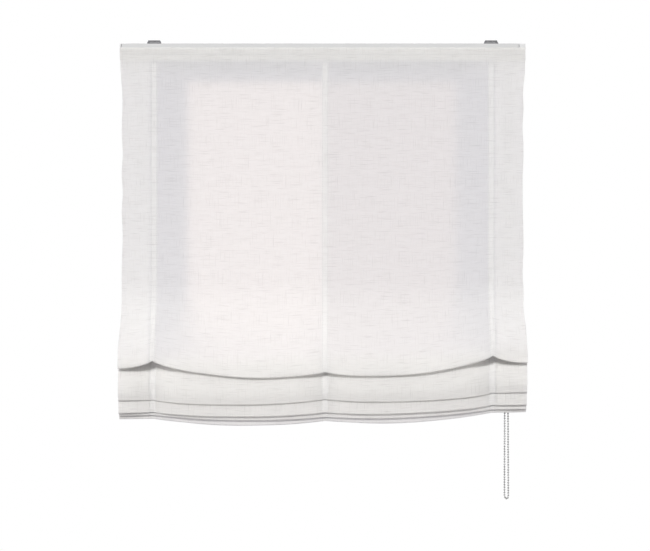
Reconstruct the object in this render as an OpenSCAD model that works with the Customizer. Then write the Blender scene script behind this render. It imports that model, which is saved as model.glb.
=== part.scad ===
// Chain-operated soft roman blind, partly raised, with its head rail, drive, cloth and folds.
// Lengths are millimetres. X runs along the rail, Y to the back and Z up.
// The origin lies between the two ceiling screws, on the top faces of the clips.

/* [Blind] */
// Width over the rail's end pieces, and of the cloth
blind_w = 950; // [800:10:1200]
// Distance from each outer tape's middle to the side of the blind
tape_inset = 80; // [76:1:110]
// How far the middle tape sits to the right of the centre
centre_shift = 6; // [0:1:12]
// Width of the sewn tapes
tape_w = 15; // [12:1:18]
// Thickness of the sewn tapes
tape_t = 0.6; // [0.4:0.1:0.8]
// Thickness of the cloth
cloth_t = 0.8; // [0.6:0.1:1]
// Extra thickness of the turned side hems
hem_t = 0.5; // [0.2:0.1:0.6]

/* [Rail] */
// Wall of the head rail
rail_wall = 1.6; // [1.4:0.1:1.8]
// Height of the clips above the rail
clip_h = 7.5; // [7:0.5:9]
// Length of each clip along the rail
clip_w = 28; // [24:1:34]
// Thickness of each hook and loop strip
strip_t = 1; // [0.8:0.1:1.2]
// How far the cloth's top edge lies below the rail's top
cloth_set_down = 10; // [9:0.5:11]

/* [Drive] */
// Hexagonal shaft across its flats
shaft_af = 6; // [5:0.5:7]
// Winding radius of the cord drums
drum_r = 10.4; // [9:0.1:12]
// Length of the drums between their flanges
drum_len = 39; // [36:1:40]
// Thickness of the lift cords
cord_d = 1.4; // [1.2:0.1:1.5]
// Turns of cord left on each drum
cord_turns = 18; // [17:1:20]
// Diameter of the chain's balls
bead_d = 4.5; // [4.3:0.1:4.7]
// Distance from ball to ball
bead_pitch = 6; // [5.8:0.1:6.1]
// Balls in each straight run of the chain
chain_run = 173; // [120:1:180]
// How far the hanging chain has turned about its own drop, in degrees
chain_twist = 30; // [0:5:45]
// Distance from the chain to the right end of the rail
chain_inset = 43; // [43:0.5:45]
// Drop of the chain's connector below the sprocket
connector_drop = 300; // [200:10:500]

/* [Folds] */
// Drop of the highest gathered ring below the rail's top, which sets how far the blind is raised
ring_drop = 722; // [500:1:760]
// Drop of each fold's lower edge below that ring, at the left tape
fold_hang = [25, 114, 142, 148, 156]; // [20:1:160]
// How much higher each fold's edge lies at the right tape
fold_rise = [12, 16, 16, 13, 14]; // [10:1:18]
// How much each fold droops at the middle tape
centre_droop = [29, 5, 8, 11, 12]; // [4:1:30]
// Sag of each fold between two tapes
bay_sag = [21, 10, 9, 10, 14]; // [6:1:24]
// Droop of each fold towards the sides
side_droop = [12, -3, -1, 0, 0]; // [-4:1:14]
// Distance between the two layers of a fold
fold_t = 6; // [5.5:0.5:6.5]
// Distance between neighbouring folds
fold_gap = 3.5; // [3:0.5:4]
// Distance between gathered rings
ring_pitch = 10; // [9:0.5:11]
// Height over which the panel leans forward above the highest gathered ring
lean_h = 160; // [120:1:200]
// Distance between rings on the hanging panel
panel_ring_pitch = 271; // [240:1:275]
// How far the sides draw in halfway down
side_draw = 6; // [0:1:8]
// Thickness of the weight bar
bar_t = 3; // [2.5:0.5:3.5]
// Height of the weight bar
bar_h = 18; // [15:1:20]
// Drop of the bar pocket's lower edge below the highest gathered ring
pocket_hang = 93; // [85:1:100]

/* [Hidden] */
$fn = 48;

// Places along the rail
half_w = blind_w / 2;
tape_x = [-half_w + tape_inset, centre_shift, half_w - tape_inset];
chain_x = half_w - chain_inset;
plate_t = 14;
reveal = 1.5;
cap_t = 2.5;
rail_x0 = -half_w + cap_t + reveal;
rail_x1 = half_w - plate_t - reveal;

// Radii of the drums and of the chain's sprocket
fit = 0.2;
run_fit = 0.06;
flange_r = drum_r + 2.4;
pockets = 10;
sprocket_r = bead_pitch / (2 * sin(180 / pockets));
groove_r = bead_d / 2 + 0.25;
cavity_r = sprocket_r + bead_d / 2 + 0.75;
box_wall = 1.4;

// Heights and depths of the rail, which leave room for the larger of drum and sprocket
cradle_t = 1.6;
head_room = max(flange_r + 1.6, cavity_r + fit + box_wall);
foot_room = max(flange_r + cradle_t + 2, cavity_r + fit + box_wall);
channel_h = 6;
rail_h = channel_h + 2 * rail_wall + head_room + foot_room;
inner_y = max(flange_r + 2.1, cavity_r + fit + box_wall);
rail_d = 2 * (inner_y + rail_wall);
rail_top = -clip_h;
rail_bottom = rail_top - rail_h;
rail_front = -rail_d / 2;
channel_y = 9.5;
channel_mouth = 6.5;
drive_top = rail_top - channel_h - rail_wall;
lip_top = rail_bottom + rail_wall;
mouth_y = inner_y - 1.9;
strip_h = rail_h - cloth_set_down - 2;

// The drive's axis and fits
axis_z = drive_top - head_room;
cord_pitch_r = drum_r + 0.1 + cord_d / 2;
cord_y = -cord_pitch_r;
journal_r = 4.9;
hub_r = 6;
bush_r = 5;
key_af = 2 * cos(30) * (sprocket_r - groove_r - 0.85);
spring_t = 2.1;
sleeve_r = sprocket_r - 0.3;
spring_room = 0.9;
spigot_r = sleeve_r - box_wall - spring_room - spring_t;

// Depths of the cloth, its tapes and its rings
cloth_y = rail_front - 2 * strip_t - cloth_t / 2;
cloth_top = rail_top - cloth_set_down;
tape_gap = 0.05;
tape_back = cloth_y + cloth_t / 2 + tape_gap + tape_t;
ring_wire = 1;
ring_r = cord_y - tape_back - 0.3 - ring_wire;
fold_drop = [for (d = fold_hang) ring_drop + d];
folds = len(fold_drop);
lean_drop = ring_drop - lean_h;
panel_ring_drop = lean_drop - panel_ring_pitch;
pocket_drop = ring_drop + pocket_hang;
turn_r = fold_gap / 2;
loop_r = fold_t / 2;
tail_gap = 6;
arc_flat = 0.45;
ring_y = cloth_y - turn_r;
ring_rise = 14;
ring_droop = 8;
ring_sag = 9;
stop_h = 9;
bar_play = 0.4;

// A straight blend, and a soft one that starts and ends level
function mix(a, b, t) = a + (b - a) * t;
function soft(t) = t * t * (3 - 2 * t);
function limit(t) = min(1, max(0, t));

// Drop of a line across the blind that hangs on the three tapes and sags between them
function across(x, drop, rise, droop, sag, side) =
    let (bay = x < tape_x[1] ? (x - tape_x[0]) / (tape_x[1] - tape_x[0])
                             : (tape_x[2] - x) / (tape_x[2] - tape_x[1]),
         wing = limit(-bay * (tape_x[1] - tape_x[0]) / tape_inset),
         level = drop - rise * (x - tape_x[0]) / (tape_x[2] - tape_x[0]))
    bay < 0 ? level + side * wing * (2 - wing)
            : level + droop * bay + 4 * sag * bay * (1 - bay);

function fold_z(k, x) =
    rail_top - across(x, fold_drop[k], fold_rise[k], centre_droop[k], bay_sag[k], side_droop[k]);
function ring_z(k, x) =
    rail_top - across(x, ring_drop + k * ring_pitch, ring_rise, ring_droop, ring_sag, 2);
function pocket_z(x) = rail_top - across(x, pocket_drop, ring_rise, 0, 0, 0);

// Depth of a fold's back and front layer, counted from the front fold
function layer_back(k) = cloth_y - tail_gap - (folds - 1 - k) * (fold_t + fold_gap);
function layer_front(k) = layer_back(k) - fold_t;

// Points on an ellipse about c from angle a0 to a1, without the first
function sweep(c, ry, rz, a0, a1, n) =
    [for (i = [1:n]) let (a = mix(a0, a1, i / n)) [c[0] + ry * cos(a), c[1] + rz * sin(a)]];

// The bottom of a fold, from its front layer round to its back layer
function loop_turn(k, x) =
    concat([[layer_front(k), fold_z(k, x) + loop_r]],
           sweep([layer_front(k) + loop_r, fold_z(k, x) + loop_r], loop_r, loop_r, 180, 360, 4));

// From a fold's back layer up and over to its ring
function over_to_ring(k, x) =
    let (a = ring_y - layer_back(k), b = arc_flat * a, c = [ring_y, ring_z(k, x) + turn_r - b])
    concat([[layer_back(k), c[1]]], sweep(c, a, b, 180, 90, 4));

// From a ring forward and down into the front layer of the next fold
function from_ring(k, x) =
    let (a = ring_y - layer_front(k + 1), b = arc_flat * a, c = [ring_y, ring_z(k, x) - turn_r - b])
    concat(sweep([ring_y, ring_z(k, x)], turn_r, turn_r, 90, -90, 3), sweep(c, a, b, 90, 180, 4));

// The hanging panel, straight at first and then leaning out to the front fold
panel_steps = [0, 0.056, 0.1, 0.2, 0.5, 0.8, 1];
lean_steps = 6;
function panel(x) =
    let (z0 = rail_top - lean_drop, z1 = fold_z(0, x) + loop_r)
    concat([for (s = panel_steps) [cloth_y, mix(cloth_top, z0, s)]],
           [for (i = [1:lean_steps - 1]) let (s = i / lean_steps)
               [mix(cloth_y, layer_front(0), soft(s)), mix(z0, z1, s)]]);

// The tail behind the folds, with a pocket round the bar
pocket_half = bar_t / 2 + bar_play + cloth_t / 2;
function tail(x) =
    let (k = folds - 1, z = pocket_z(x) + pocket_half, top = z + bar_h + 2 * bar_play,
         seam = cloth_y - cloth_t - 0.15)
    concat(sweep([ring_y, ring_z(k, x)], turn_r, turn_r, 90, 0, 2),
           [[cloth_y, top + 6], [cloth_y + pocket_half, top], [cloth_y + pocket_half, z]],
           sweep([cloth_y, z], pocket_half, pocket_half, 0, -180, 4),
           [[cloth_y - pocket_half, top], [seam, top + 6], [seam, top + 12]]);

// One section through the whole cloth at x, as depth and height, from the top edge to the pocket's end
function section(x) =
    concat(panel(x),
           [for (k = [0:folds - 1])
               each concat(loop_turn(k, x), over_to_ring(k, x), k < folds - 1 ? from_ring(k, x) : [])],
           tail(x));

panel_rows = len(panel_steps) + lean_steps - 1;
rows = len(section(0));
tail_rows = 2 + 3 + 4 + 3;
tape_first = 2;
tape_last = rows - tail_rows + 2;

// Direction towards the cloth's back at each point of a section
function back_of(s) =
    [for (i = [0:len(s) - 1])
        let (d = s[min(i + 1, len(s) - 1)] - s[max(i - 1, 0)], n = norm(d)) [-d[1] / n, d[0] / n]];

// Sides of the panel draw in between the rail and the folds
draw_h = 140;
function drawn(x, z) =
    let (w = limit((abs(x) - half_w + tape_inset - tape_w) / (tape_inset - tape_w)),
         down = soft(limit((cloth_top - z) / draw_h)),
         up = soft(limit((z + ring_drop + 20) / draw_h)))
    x - sign(x) * side_draw * w * down * up;

// One layer of points at offset d behind the middle of the cloth, for one column
function layer(x, d) =
    let (s = section(x), n = back_of(s))
    [for (i = [0:len(s) - 1]) let (p = s[i] + d * n[i]) [drawn(x, p[1]), p[0], p[1]]];

// Columns of the cloth, with the edges of every tape among them
bay_cols = 6;
function bay_x(a, b) = [for (i = [1:bay_cols]) mix(a, b, i / (bay_cols + 1))];
tape_edges = [for (x = tape_x) [x - tape_w / 2, x + tape_w / 2]];
columns = concat(
    [-half_w, mix(-half_w, tape_edges[0][0], 0.5), tape_edges[0][0] - 2],
    tape_edges[0], bay_x(tape_edges[0][1], tape_edges[1][0]),
    tape_edges[1], bay_x(tape_edges[1][1], tape_edges[2][0]), tape_edges[2],
    [tape_edges[2][1] + 2, mix(half_w, tape_edges[2][1], 0.5), half_w]);
function hem_at(x) = x < tape_edges[0][0] - 1 || x > tape_edges[2][1] + 1 ? hem_t : 0;

// A closed sheet from a front and a back grid of points, each given as columns of equal length
module sheet(front, back) {
    c = len(front);
    r = len(front[0]);
    pts = [for (g = [front, back]) each [for (col = g) each col]];
    f = function (i, j) i * r + j;
    b = function (i, j) c * r + i * r + j;
    faces = concat(
        [for (i = [0:c - 2]) for (j = [0:r - 2])
            each [[f(i, j), f(i, j + 1), f(i + 1, j + 1)], [f(i, j), f(i + 1, j + 1), f(i + 1, j)]]],
        [for (i = [0:c - 2]) for (j = [0:r - 2])
            each [[b(i, j), b(i + 1, j + 1), b(i, j + 1)], [b(i, j), b(i + 1, j), b(i + 1, j + 1)]]],
        [for (j = [0:r - 2])
            each [[f(0, j), b(0, j), b(0, j + 1)], [f(0, j), b(0, j + 1), f(0, j + 1)],
                  [f(c - 1, j), f(c - 1, j + 1), b(c - 1, j + 1)],
                  [f(c - 1, j), b(c - 1, j + 1), b(c - 1, j)]]],
        [for (i = [0:c - 2])
            each [[f(i, 0), f(i + 1, 0), b(i + 1, 0)], [f(i, 0), b(i + 1, 0), b(i, 0)],
                  [f(i, r - 1), b(i, r - 1), b(i + 1, r - 1)],
                  [f(i, r - 1), b(i + 1, r - 1), f(i + 1, r - 1)]]]);
    polyhedron(points = pts, faces = faces, convexity = 12);
}

// A flat profile in depth and height, drawn out along the rail
module along(x0, x1) {
    translate([x0, 0, 0]) rotate([90, 0, 90]) linear_extrude(x1 - x0) children();
}

// A round bar or bore along the drive's axis
module turned(x0, x1, r) {
    translate([x0, 0, axis_z]) rotate([0, 90, 0]) cylinder(r = r, h = x1 - x0);
}

// A hexagonal bar or bore along the drive's axis
module hexagon(x0, x1, af) {
    translate([x0, 0, axis_z]) rotate([0, 90, 0]) cylinder(d = af / cos(30), h = x1 - x0, $fn = 6);
}

// A rectangle in depth and height, between two corners
module box2(y0, y1, z0, z1) {
    translate([y0, z0]) square([y1 - y0, z1 - z0]);
}

// An upright plate outline with round corners
module plate2(y0, y1, z0, z1, r) {
    box2(y0 + r, y1 - r, z0, z1);
    box2(y0, y1, z0 + r, z1 - r);
    for (y = [y0 + r, y1 - r])
        for (z = [z0 + r, z1 - r])
            translate([y, z]) circle(r = r);
}

// Rail section: clip channel above, drive space below, open between two lips at the bottom
module rail_section() {
    difference() {
        box2(rail_front, -rail_front, rail_bottom, rail_top);
        box2(-inner_y, inner_y, lip_top, drive_top);
        box2(-mouth_y, mouth_y, rail_bottom - 1, lip_top + 1);
        box2(-channel_y, channel_y, rail_top - channel_h, rail_top - rail_wall);
        box2(-channel_mouth, channel_mouth, rail_top - rail_wall - 1, rail_top + 1);
        for (side = [-1, 1])
            box2(side * (channel_y + inner_y) / 2 - 1.6, side * (channel_y + inner_y) / 2 + 1.6,
                 rail_top - channel_h, rail_top - rail_wall);
    }
}

module headrail() {
    color("gainsboro") along(rail_x0, rail_x1) rail_section();
}

// Hat-shaped clip: a top plate on two splayed legs, a leaf that lies on the rail between them,
// a neck through the channel's mouth and a foot under it
module clip(x) {
    t = 1.5;
    deep = 14;
    foot_top = rail_top - rail_wall - 0.1;
    splay = 3;
    leaf_t = 2.4;
    driver_r = 5;
    color("silver") translate([x, 0, 0]) difference() {
        union() {
            translate([-clip_w / 2, -deep, -t]) cube([clip_w, 2 * deep, t]);
            translate([-(clip_w + splay) / 2, -deep, rail_top]) cube([clip_w + splay, 2 * deep, leaf_t]);
            for (side = [-1, 1])
                translate([0, deep, 0]) rotate([90, 0, 0]) linear_extrude(2 * deep)
                    polygon([[side * (clip_w / 2 - t), -t], [side * clip_w / 2, -t],
                             [side * (clip_w / 2 + splay), rail_top],
                             [side * (clip_w / 2 + splay - t), rail_top]]);
            for (side = [-1, 1]) {
                translate([side * (clip_w / 2 + splay - t) - t, 0.4 - channel_mouth, foot_top - t])
                    cube([2 * t, 2 * channel_mouth - 0.8, rail_top - foot_top + 2 * t]);
                translate([side * (clip_w / 2 + splay - t) - 2 * t, 0.4 - channel_y, foot_top - t])
                    cube([4 * t, 2 * channel_y - 0.8, t]);
            }
        }
        translate([0, 0, -t - 1]) cylinder(r = 2.25, h = t + 2);
        translate([0, 0, rail_top - 1]) cylinder(r = driver_r, h = leaf_t + 2);
    }
}
module ceiling_clip_left() { clip(-half_w + tape_inset); }
module ceiling_clip_right() { clip(half_w - tape_inset); }

// Left end cap: a thin plate, and a plug in the rail with the bush's bearing
module end_cap() {
    color("whitesmoke") difference() {
        union() {
            along(-half_w, -half_w + cap_t) plate2(rail_front, -rail_front, rail_bottom, rail_top, 2);
            along(-half_w + cap_t - 0.5, -half_w + cap_t + 13)
                box2(fit - inner_y, inner_y - fit, lip_top + fit, drive_top - fit);
        }
        turned(-half_w + cap_t + 2, -half_w + cap_t + 14, bush_r + run_fit);
    }
}

module shaft_bush() {
    color("whitesmoke") difference() {
        turned(-half_w + cap_t + 3, -half_w + cap_t + 12, bush_r);
        hexagon(-half_w + cap_t + 2, -half_w + cap_t + 14, shaft_af + 0.1);
    }
}

// Control unit: the end plate, a box in the rail and the fixed spigot for the wrap springs
wheel_half = 5;
hub_len = 11;
unit_x0 = chain_x - wheel_half - hub_len;
unit_x1 = half_w - plate_t;
module chain_mouths() {
    w = bead_d / 2 + 0.85;
    for (side = [-1, 1])
        translate([chain_x - w - 0.4, side * sprocket_r - w, rail_bottom - 1])
            cube([2 * w + 0.8, 2 * w, axis_z - rail_bottom + 1]);
}
module control_housing() {
    color("whitesmoke") union() {
        difference() {
            union() {
                along(unit_x1, half_w) plate2(rail_front, -rail_front, rail_bottom, rail_top, 2);
                along(unit_x0, unit_x1 + 1)
                    box2(fit - inner_y, inner_y - fit, lip_top + fit, drive_top - fit);
            }
            turned(unit_x0 - 1, unit_x1 - 4, cavity_r);
            chain_mouths();
        }
        turned(chain_x + 7, unit_x1 - 2, spigot_r);
    }
}

module control_cover() {
    color("whitesmoke") difference() {
        along(unit_x0 - 3.5, unit_x0 - 0.05)
            box2(fit - inner_y, inner_y - fit, lip_top + fit, drive_top - fit);
        turned(unit_x0 - 5, unit_x0 + 1, hub_r + run_fit);
    }
}

// Sprocket: a round groove for the balls with slotted ribs between them, and a sleeve over the springs
rib_t = 1;
link_slot = 2;
rib_root = 0.3;
module groove_ribs() {
    size = [groove_r + 0.5 - link_slot / 2, groove_r + rib_root + 0.2, rib_t];
    for (i = [0:pockets - 1])
        for (side = [-1, 1])
            translate([chain_x, 0, axis_z]) rotate([(i + 0.5) * 360 / pockets, 0, 0])
                translate([side * (size[0] + link_slot) / 2, sprocket_r + 0.2 - size[1] / 2, 0])
                    cube(size, center = true);
}
module grooved_wheel() {
    translate([chain_x, 0, axis_z]) rotate([0, 90, 0]) rotate_extrude() difference() {
        translate([0, -wheel_half]) square([sprocket_r + 1.9, 2 * wheel_half]);
        translate([sprocket_r, 0]) circle(r = groove_r);
        translate([sprocket_r, -groove_r]) square([3, 2 * groove_r]);
    }
}
module chain_sprocket() {
    color("gainsboro") difference() {
        union() {
            grooved_wheel();
            groove_ribs();
            turned(chain_x + wheel_half - 1, chain_x + 22, sleeve_r);
        }
        hexagon(chain_x - wheel_half - 1, chain_x + wheel_half + 1, key_af + 0.1);
        turned(chain_x + wheel_half, chain_x + 23, spigot_r + spring_t + spring_room);
    }
}

module output_hub() {
    color("whitesmoke") difference() {
        union() {
            turned(unit_x0 - 11, unit_x0 + 1, hub_r);
            turned(unit_x0 + 0.5, chain_x - wheel_half - 0.2, hub_r + 2.6);
            hexagon(chain_x - wheel_half - 1, chain_x + wheel_half, key_af);
        }
        hexagon(unit_x0 - 12, unit_x0 + 6, shaft_af + 0.1);
    }
}

// Two close-wound springs round the spigot, each a grooved sleeve of eight turns
module wrap_springs() {
    turns = 8;
    wire = 0.9;
    color("silver")
        for (x = [chain_x + 7.6, chain_x + 15.4])
            translate([x, 0, axis_z]) rotate([0, 90, 0]) rotate_extrude()
                for (i = [0:turns - 1])
                    translate([spigot_r + run_fit, i * wire])
                        square([i % 2 == 0 ? spring_t : spring_t - 0.3, wire]);
}

module drive_shaft() {
    color("silver") hexagon(-half_w + cap_t + 4, unit_x0 + 5, shaft_af);
}

// Cord drum: a barrel between flanges, with a journal at each end and a hexagonal bore
drum_x0 = 3 - drum_len;
module drum(x) {
    color("whitesmoke") difference() {
        union() {
            turned(x + drum_x0, x + 3, drum_r);
            for (f = [x + drum_x0 - 2, x + 3])
                turned(f, f + 2, flange_r);
            turned(x + drum_x0 - 6, x + 9, journal_r);
        }
        hexagon(x + drum_x0 - 7, x + 10, shaft_af + 0.1);
    }
}
module cord_drum_left() { drum(tape_x[0]); }
module cord_drum_centre() { drum(tape_x[1]); }
module cord_drum_right() { drum(tape_x[2]); }

// Cradle on the rail's lips: a floor with the cord's hole, and two walls with open-topped bearings
module cradle(x) {
    wall = 2.4;
    ends = [x + drum_x0 - 5.6, x + 8.6];
    color("white") difference() {
        union() {
            along(ends[0], ends[1]) box2(fit - inner_y, inner_y - fit, lip_top, lip_top + cradle_t);
            for (w = [ends[0], ends[1] - wall])
                along(w, w + wall) box2(-9, 9, lip_top, axis_z + journal_r);
        }
        turned(ends[0] - 1, ends[1] + 1, journal_r + run_fit);
        translate([ends[0] - 1, -0.8 * journal_r, axis_z])
            cube([ends[1] - ends[0] + 2, 1.6 * journal_r, 2 * journal_r]);
        translate([x, cord_y, lip_top - 1]) cylinder(r = cord_d / 2 + 0.8, h = cradle_t + 2);
    }
}
module drum_cradle_left() { cradle(tape_x[0]); }
module drum_cradle_centre() { cradle(tape_x[1]); }
module drum_cradle_right() { cradle(tape_x[2]); }

// Turns of cord lying side by side on the drums
module wound_cords() {
    color("white")
        for (x = tape_x)
            translate([x, 0, axis_z]) rotate([0, 90, 0]) rotate_extrude() {
                for (i = [0:cord_turns - 1])
                    translate([cord_pitch_r, -i * cord_d * 0.98]) circle(d = cord_d);
                translate([cord_pitch_r - 0.3, -(cord_turns - 1) * cord_d * 0.98])
                    square([0.6, (cord_turns - 1) * cord_d * 0.98]);
            }
}

// Lift cord: straight down from the drum through every ring to its stop
wound_r = cord_pitch_r + cord_d / 2;
function cord_top() = axis_z - sqrt(pow(wound_r, 2) - pow(wound_r - cord_d - 0.3, 2));
module lift_cord(x) {
    z0 = ring_z(folds - 1, x) - ring_wire - stop_h - 1.5;
    color("white") translate([x, cord_y, z0]) cylinder(d = cord_d, h = cord_top() - z0);
}
module lift_cord_left() { lift_cord(tape_x[0]); }
module lift_cord_centre() { lift_cord(tape_x[1]); }
module lift_cord_right() { lift_cord(tape_x[2]); }

// Hook strip on the rail and loop strip on the cloth's head hem
strip_z = cloth_top - 1.2;
module hook_strip() {
    color("white") along(rail_x0 + 1, rail_x1 - 1)
        box2(rail_front - strip_t, rail_front, strip_z - strip_h, strip_z);
}
module loop_strip() {
    color("white") along(5 - half_w, half_w - 5)
        box2(rail_front - 2 * strip_t, rail_front - strip_t, strip_z - strip_h, strip_z);
}

// The cloth in one piece, from the head hem through all the folds to the bar's pocket
head_rows = 1;
module fabric() {
    front = [for (x = columns) layer(x, -cloth_t / 2)];
    plain = [for (x = columns) layer(x, cloth_t / 2)];
    hemmed = [for (x = columns) layer(x, cloth_t / 2 + hem_at(x))];
    last = rows - tail_rows;
    back = [for (i = [0:len(columns) - 1])
        [for (j = [0:rows - 1]) j <= head_rows || j >= last ? plain[i][j] : hemmed[i][j]]];
    color("linen") sheet(front, back);
}

// A tape sewn to the cloth's back, following every fold
module tape(i) {
    function part(d) =
        [for (x = tape_edges[i]) let (l = layer(x, d)) [for (j = [tape_first:tape_last]) l[j]]];
    color("white") sheet(part(cloth_t / 2 + tape_gap), part(cloth_t / 2 + tape_gap + tape_t));
}
module tape_left() { tape(0); }
module tape_centre() { tape(1); }
module tape_right() { tape(2); }

// Rings for the cords, sewn to the tapes
module ring(x, z) {
    translate([x, cord_y, z]) rotate_extrude() translate([ring_r, 0]) circle(r = ring_wire, $fn = 24);
}
panel_ring_count = 2;
module panel_rings() {
    color("white")
        for (x = tape_x)
            for (k = [0:panel_ring_count - 1])
                ring(x, rail_top - panel_ring_drop - k * panel_ring_pitch);
}
module stack_rings() {
    color("white")
        for (x = tape_x)
            for (k = [0:folds - 1])
                ring(x, ring_z(k, x));
}

// Stops on the cord ends, too wide to pass the lowest rings
module cord_stops() {
    color("white")
        for (x = tape_x)
            translate([x, cord_y, ring_z(folds - 1, x) - ring_wire - stop_h]) difference() {
                union() {
                    cylinder(r = ring_r - 0.2, h = stop_h - 2);
                    translate([0, 0, stop_h - 2.5]) cylinder(r = ring_r - 1.2, h = 2.5);
                }
                translate([0, 0, -1]) cylinder(r = cord_d / 2 + run_fit, h = stop_h + 2);
            }
}

// Flat weight bar in the pocket, leaning with the folds
bar_len = blind_w - 24;
bar_lean = atan2(ring_rise, tape_x[2] - tape_x[0]);
module in_pocket() {
    translate([0, cloth_y, pocket_z(0) + pocket_half + bar_play / 2]) rotate([0, -bar_lean, 0]) children();
}
module weight_bar() {
    color("gainsboro") in_pocket() translate([-bar_len / 2, -bar_t / 2, 0]) cube([bar_len, bar_t, bar_h]);
}
module bar_end_caps() {
    color("whitesmoke") in_pocket()
        for (side = [-1, 1])
            translate([side * (bar_len / 2 + 2) - 1.9, -bar_t / 2 - 0.1, -0.1])
                cube([3.8, bar_t + 0.2, bar_h + 0.2]);
}

// Endless ball chain: over the sprocket, two straight runs, and a small turn at the bottom
turn_links = 4;
turn_rad = bead_pitch / (2 * sin(90 / turn_links));
link_d = 1.2;
run_len = chain_run * bead_pitch;
function run_end(side) = [chain_x - side * turn_rad * sin(chain_twist), side * turn_rad * cos(chain_twist),
                          axis_z - run_len];
module link(a, b) {
    d = b - a;
    inset = bead_d * 0.4;
    translate(a) rotate([0, acos(d[2] / norm(d)), atan2(d[1], d[0])])
        translate([0, 0, inset]) cylinder(d = link_d, h = norm(d) - 2 * inset);
}
module beads_on(p) {
    for (i = [0:len(p) - 1]) {
        if (i > 0 && i < len(p) - 1)
            translate(p[i]) sphere(d = bead_d);
        if (i > 0)
            link(p[i - 1], p[i]);
    }
}
module straight_run(a, b) {
    d = b - a;
    l = norm(d);
    translate(a) rotate([0, acos(d[2] / l), atan2(d[1], d[0])]) rotate_extrude() intersection() {
        union() {
            square([link_d / 2, l]);
            for (i = [0:chain_run])
                translate([0, i * l / chain_run]) circle(d = bead_d);
        }
        translate([0, -bead_d]) square([bead_d, l + 2 * bead_d]);
    }
}
module bead_chain() {
    top = [for (i = [0:pockets / 2]) let (a = i * 360 / pockets)
        [chain_x, -sprocket_r * cos(a), axis_z + sprocket_r * sin(a)]];
    low = [for (i = [0:turn_links]) let (a = i * 180 / turn_links, s = -turn_rad * cos(a))
        [chain_x - s * sin(chain_twist), s * cos(chain_twist), axis_z - run_len - turn_rad * sin(a)]];
    color("darkgray") union() {
        straight_run([chain_x, -sprocket_r, axis_z], run_end(-1));
        straight_run([chain_x, sprocket_r, axis_z], run_end(1));
        beads_on(top);
        beads_on(low);
    }
}

// Sleeve that joins the chain's ends, on the back run
module chain_connector() {
    a = [chain_x, sprocket_r, axis_z];
    d = run_end(1) - a;
    l = norm(d);
    h = 15;
    color("white") translate(a) rotate([0, acos(d[2] / l), atan2(d[1], d[0])])
        translate([0, 0, connector_drop]) difference() {
            cylinder(d = bead_d + 2, h = h);
            translate([0, 0, -1]) cylinder(d = bead_d + 0.2, h = h + 2);
        }
}

headrail();
ceiling_clip_left();
ceiling_clip_right();
end_cap();
control_housing();
control_cover();
chain_sprocket();
output_hub();
wrap_springs();
drive_shaft();
shaft_bush();
cord_drum_left();
cord_drum_centre();
cord_drum_right();
drum_cradle_left();
drum_cradle_centre();
drum_cradle_right();
wound_cords();
lift_cord_left();
lift_cord_centre();
lift_cord_right();
hook_strip();
loop_strip();
fabric();
tape_left();
tape_centre();
tape_right();
panel_rings();
stack_rings();
cord_stops();
weight_bar();
bar_end_caps();
bead_chain();
chain_connector();
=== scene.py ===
# Roman blind in sheer slub linen on a white head rail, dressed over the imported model.
# Sizes are millimetres, as in the part's source, and points are turned into metres when a mesh is made.
import math

import bpy
import numpy as np
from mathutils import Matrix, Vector, noise


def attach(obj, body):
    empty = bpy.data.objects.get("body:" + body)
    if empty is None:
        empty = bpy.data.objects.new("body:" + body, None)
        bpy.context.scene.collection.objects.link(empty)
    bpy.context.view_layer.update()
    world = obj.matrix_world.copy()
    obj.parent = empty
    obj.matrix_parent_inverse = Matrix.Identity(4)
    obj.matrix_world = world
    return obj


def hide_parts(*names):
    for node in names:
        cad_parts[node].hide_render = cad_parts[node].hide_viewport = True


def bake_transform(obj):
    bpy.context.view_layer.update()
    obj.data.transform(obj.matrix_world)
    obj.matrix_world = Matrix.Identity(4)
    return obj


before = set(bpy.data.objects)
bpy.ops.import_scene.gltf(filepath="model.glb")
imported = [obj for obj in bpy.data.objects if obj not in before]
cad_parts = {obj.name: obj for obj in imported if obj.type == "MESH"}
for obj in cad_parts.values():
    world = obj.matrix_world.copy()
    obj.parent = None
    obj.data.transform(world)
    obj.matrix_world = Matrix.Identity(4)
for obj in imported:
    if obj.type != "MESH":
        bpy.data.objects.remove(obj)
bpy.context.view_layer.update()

MM = 0.001

# Sizes of the blind, the same as in the part's source
HALF_W = 475.0
TAPE_INSET = 80.0
TAPE_X = (-395.0, 6.0, 395.0)
TAPE_W = 15.0
TAPE_T = 0.6
RAIL_TOP = -7.5
RAIL_BOTTOM = -47.5
CLOTH_Y = -18.9
CLOTH_TOP = -17.5
CORD_Y = -11.2
CORD_D = 1.4
AXIS_Z = -29.5
FOLD_DROP = (747.0, 836.0, 864.0, 870.0, 878.0)
FOLD_RISE = (12.0, 16.0, 16.0, 13.0, 14.0)
CENTRE_DROOP = (29.0, 5.0, 8.0, 11.0, 12.0)
BAY_SAG = (21.0, 10.0, 9.0, 10.0, 14.0)
SIDE_DROOP = (12.0, -3.0, -1.0, 0.0, 0.0)
FOLD_T = 6.0
FOLD_GAP = 3.5
RING_DROP = 722.0
RING_PITCH = 10.0
RING_RISE = 14.0
RING_DROOP = 8.0
RING_SAG = 9.0
RING_R = 5.35
RING_WIRE = 1.0
LEAN_DROP = 562.0
PANEL_RINGS = (291.0, 562.0)
SIDE_DRAW = 6.0
POCKET_DROP = 815.0
POCKET_HALF = 2.3
BAR_H = 18.0
BAR_PLAY = 0.4
STOP_H = 9.0
CHAIN_X = 432.0
BEAD_D = 4.5
BEAD_PITCH = 6.0
CHAIN_RUN = 173
CHAIN_TWIST = math.radians(30)
POCKETS = 10
TURN_LINKS = 4

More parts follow.
